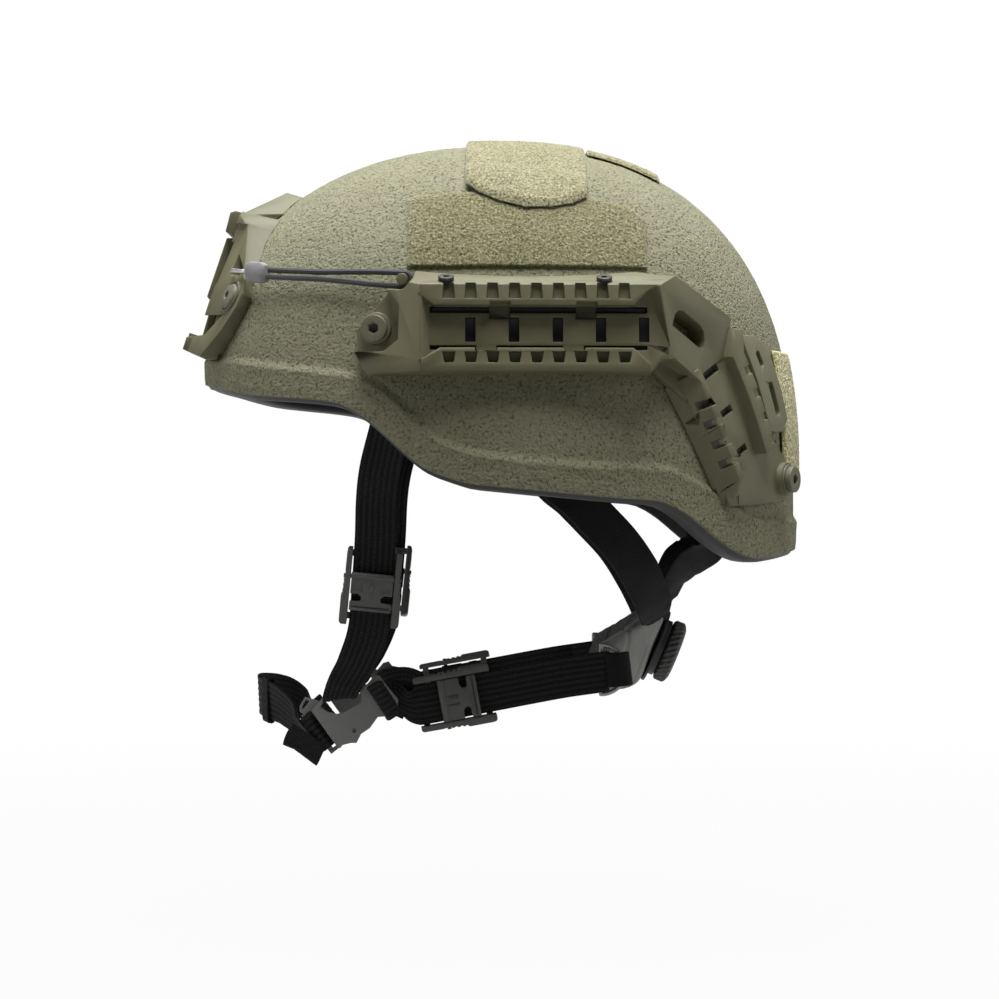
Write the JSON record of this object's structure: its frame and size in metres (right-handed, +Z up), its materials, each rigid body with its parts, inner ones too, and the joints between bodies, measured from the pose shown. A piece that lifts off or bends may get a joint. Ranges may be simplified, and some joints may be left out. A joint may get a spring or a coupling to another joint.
{
  "type": "combat helmet",
  "caption": "Mid-cut helmet with side accessory rails, a front device shroud, loop patches, elastic lanyards and a four-point chin harness with a rear fit dial.",
  "frame": {"origin": "middle of the wearer's head, level with the ear openings", "axes": "+Z up to the crown, -Y to the front of the helmet, +X to the wearer's left"},
  "size_m": [0.2576, 0.2989, 0.2954],
  "materials": {
    "shell_paint": "coarse textured matt paint",
    "rail_polymer": "moulded polymer with a fine sheen",
    "loop_fabric": "loop pile",
    "edge_rubber": "smooth rubber",
    "fastener_black": "black oxide",
    "fastener_green": "matt coat",
    "fastener_steel": "plated",
    "webbing": "woven webbing",
    "cord": "braided elastic",
    "grey_polymer": "moulded polymer",
    "sleeve": "moulded polymer",
    "wire": "drawn wire",
    "pad_fabric": "foam under knit fabric",
    "black_polymer": "moulded polymer",
    "nape_fabric": "foam under knit fabric"
  },
  "bodies": {
    "helmet": {"ballistic_shell": "shell_paint", "edge_trim": "edge_rubber", "top_loop_patch": "loop_fabric", "rear_top_loop_patch": "loop_fabric", "rear_loop_patch": "loop_fabric", "side_loop_patch_left": "loop_fabric", "side_loop_patch_right": "loop_fabric", "shroud_frame": "rail_polymer", "shroud_plate": "rail_polymer", "shroud_screws": "fastener_black", "shroud_nuts": "fastener_steel", "rail_left": "rail_polymer", "rail_right": "rail_polymer", "rail_bolts": "fastener_green", "rail_washers": "fastener_black", "rail_nuts": "fastener_steel", "rail_top_screws": "fastener_black", "strap_clip_left": "rail_polymer", "strap_clip_right": "rail_polymer", "crown_pad": "pad_fabric", "front_pad": "pad_fabric", "rear_pad": "pad_fabric", "side_pads_left": "pad_fabric", "side_pads_right": "pad_fabric", "fit_band": "black_polymer", "front_strap_left": "webbing", "front_strap_right": "webbing", "rear_strap_left": "webbing", "rear_strap_right": "webbing", "ear_strap_left": "webbing", "ear_strap_right": "webbing", "nape_strap_left": "webbing", "nape_strap_right": "webbing", "front_cam_frame_left": "grey_polymer", "front_cam_frame_right": "grey_polymer", "rear_cam_frame_left": "grey_polymer", "rear_cam_frame_right": "grey_polymer", "nape_pad": "nape_fabric", "d_rings": "wire", "d_ring_tabs": "webbing", "dial_base": "black_polymer", "chin_buckle_plate": "grey_polymer", "junction_plate_right": "grey_polymer", "chin_strap": "webbing", "tail_keeper": "webbing"},
    "dial_spool_body": {"dial_spool": "black_polymer"},
    "dial_knob_body": {"dial_knob": "black_polymer"},
    "front_lever_left_body": {"front_cam_lever_left": "grey_polymer"},
    "front_lever_right_body": {"front_cam_lever_right": "grey_polymer"},
    "rear_lever_left_body": {"rear_cam_lever_left": "grey_polymer"},
    "rear_lever_right_body": {"rear_cam_lever_right": "grey_polymer"},
    "chin_release_body": {"chin_buckle_slider": "grey_polymer", "chin_strap_end": "webbing", "strap_tail": "webbing"},
    "lanyard_left_body": {"lanyard_cord_left": "cord", "lanyard_sleeve_left": "sleeve", "lanyard_hook_left": "wire"},
    "lanyard_right_body": {"lanyard_cord_right": "cord", "lanyard_sleeve_right": "sleeve", "lanyard_hook_right": "wire"}
  },
  "joints": [
    {"name": "dial_turn", "type": "hinge", "parent": "helmet", "child": "dial_spool_body", "pos_m": [0, 0.0738, -0.0705], "axis": [0, 0.9272, -0.3746], "continuous": true},
    {"name": "dial_lift", "type": "slide", "parent": "dial_spool_body", "child": "dial_knob_body", "axis": [0, 0.9272, -0.3746], "range_m": [0, 0.0025]},
    {"name": "front_lever_left", "type": "hinge", "parent": "helmet", "child": "front_lever_left_body", "pos_m": [0.08564, -0.05891, -0.03636], "axis": [0.0195, -0.9952, 0.0956], "range_deg": [0, 50]},
    {"name": "front_lever_right", "type": "hinge", "parent": "helmet", "child": "front_lever_right_body", "pos_m": [-0.08564, -0.05891, -0.03636], "axis": [0.0195, 0.9952, -0.0956], "range_deg": [0, 50]},
    {"name": "rear_lever_left", "type": "hinge", "parent": "helmet", "child": "rear_lever_left_body", "pos_m": [0.06922, -0.02577, -0.09451], "axis": [-0.0438, 0.1802, -0.9827], "range_deg": [0, 50]},
    {"name": "rear_lever_right", "type": "hinge", "parent": "helmet", "child": "rear_lever_right_body", "pos_m": [-0.06922, -0.02577, -0.09451], "axis": [-0.0438, -0.1802, 0.9827], "range_deg": [0, 50]},
    {"name": "chin_release", "type": "slide", "parent": "helmet", "child": "chin_release_body", "axis": [0, -0.6198, 0.7848], "range_m": [0, 0.012]},
    {"name": "lanyard_swing_left", "type": "hinge", "parent": "helmet", "child": "lanyard_left_body", "pos_m": [0.10986, -0.04358, 0.1006], "axis": [0, 0, 1], "range_deg": [0, 20]},
    {"name": "lanyard_swing_right", "type": "hinge", "parent": "helmet", "child": "lanyard_right_body", "pos_m": [-0.10986, -0.04358, 0.1006], "axis": [0, 0, -1], "range_deg": [0, 20]}
  ]
}
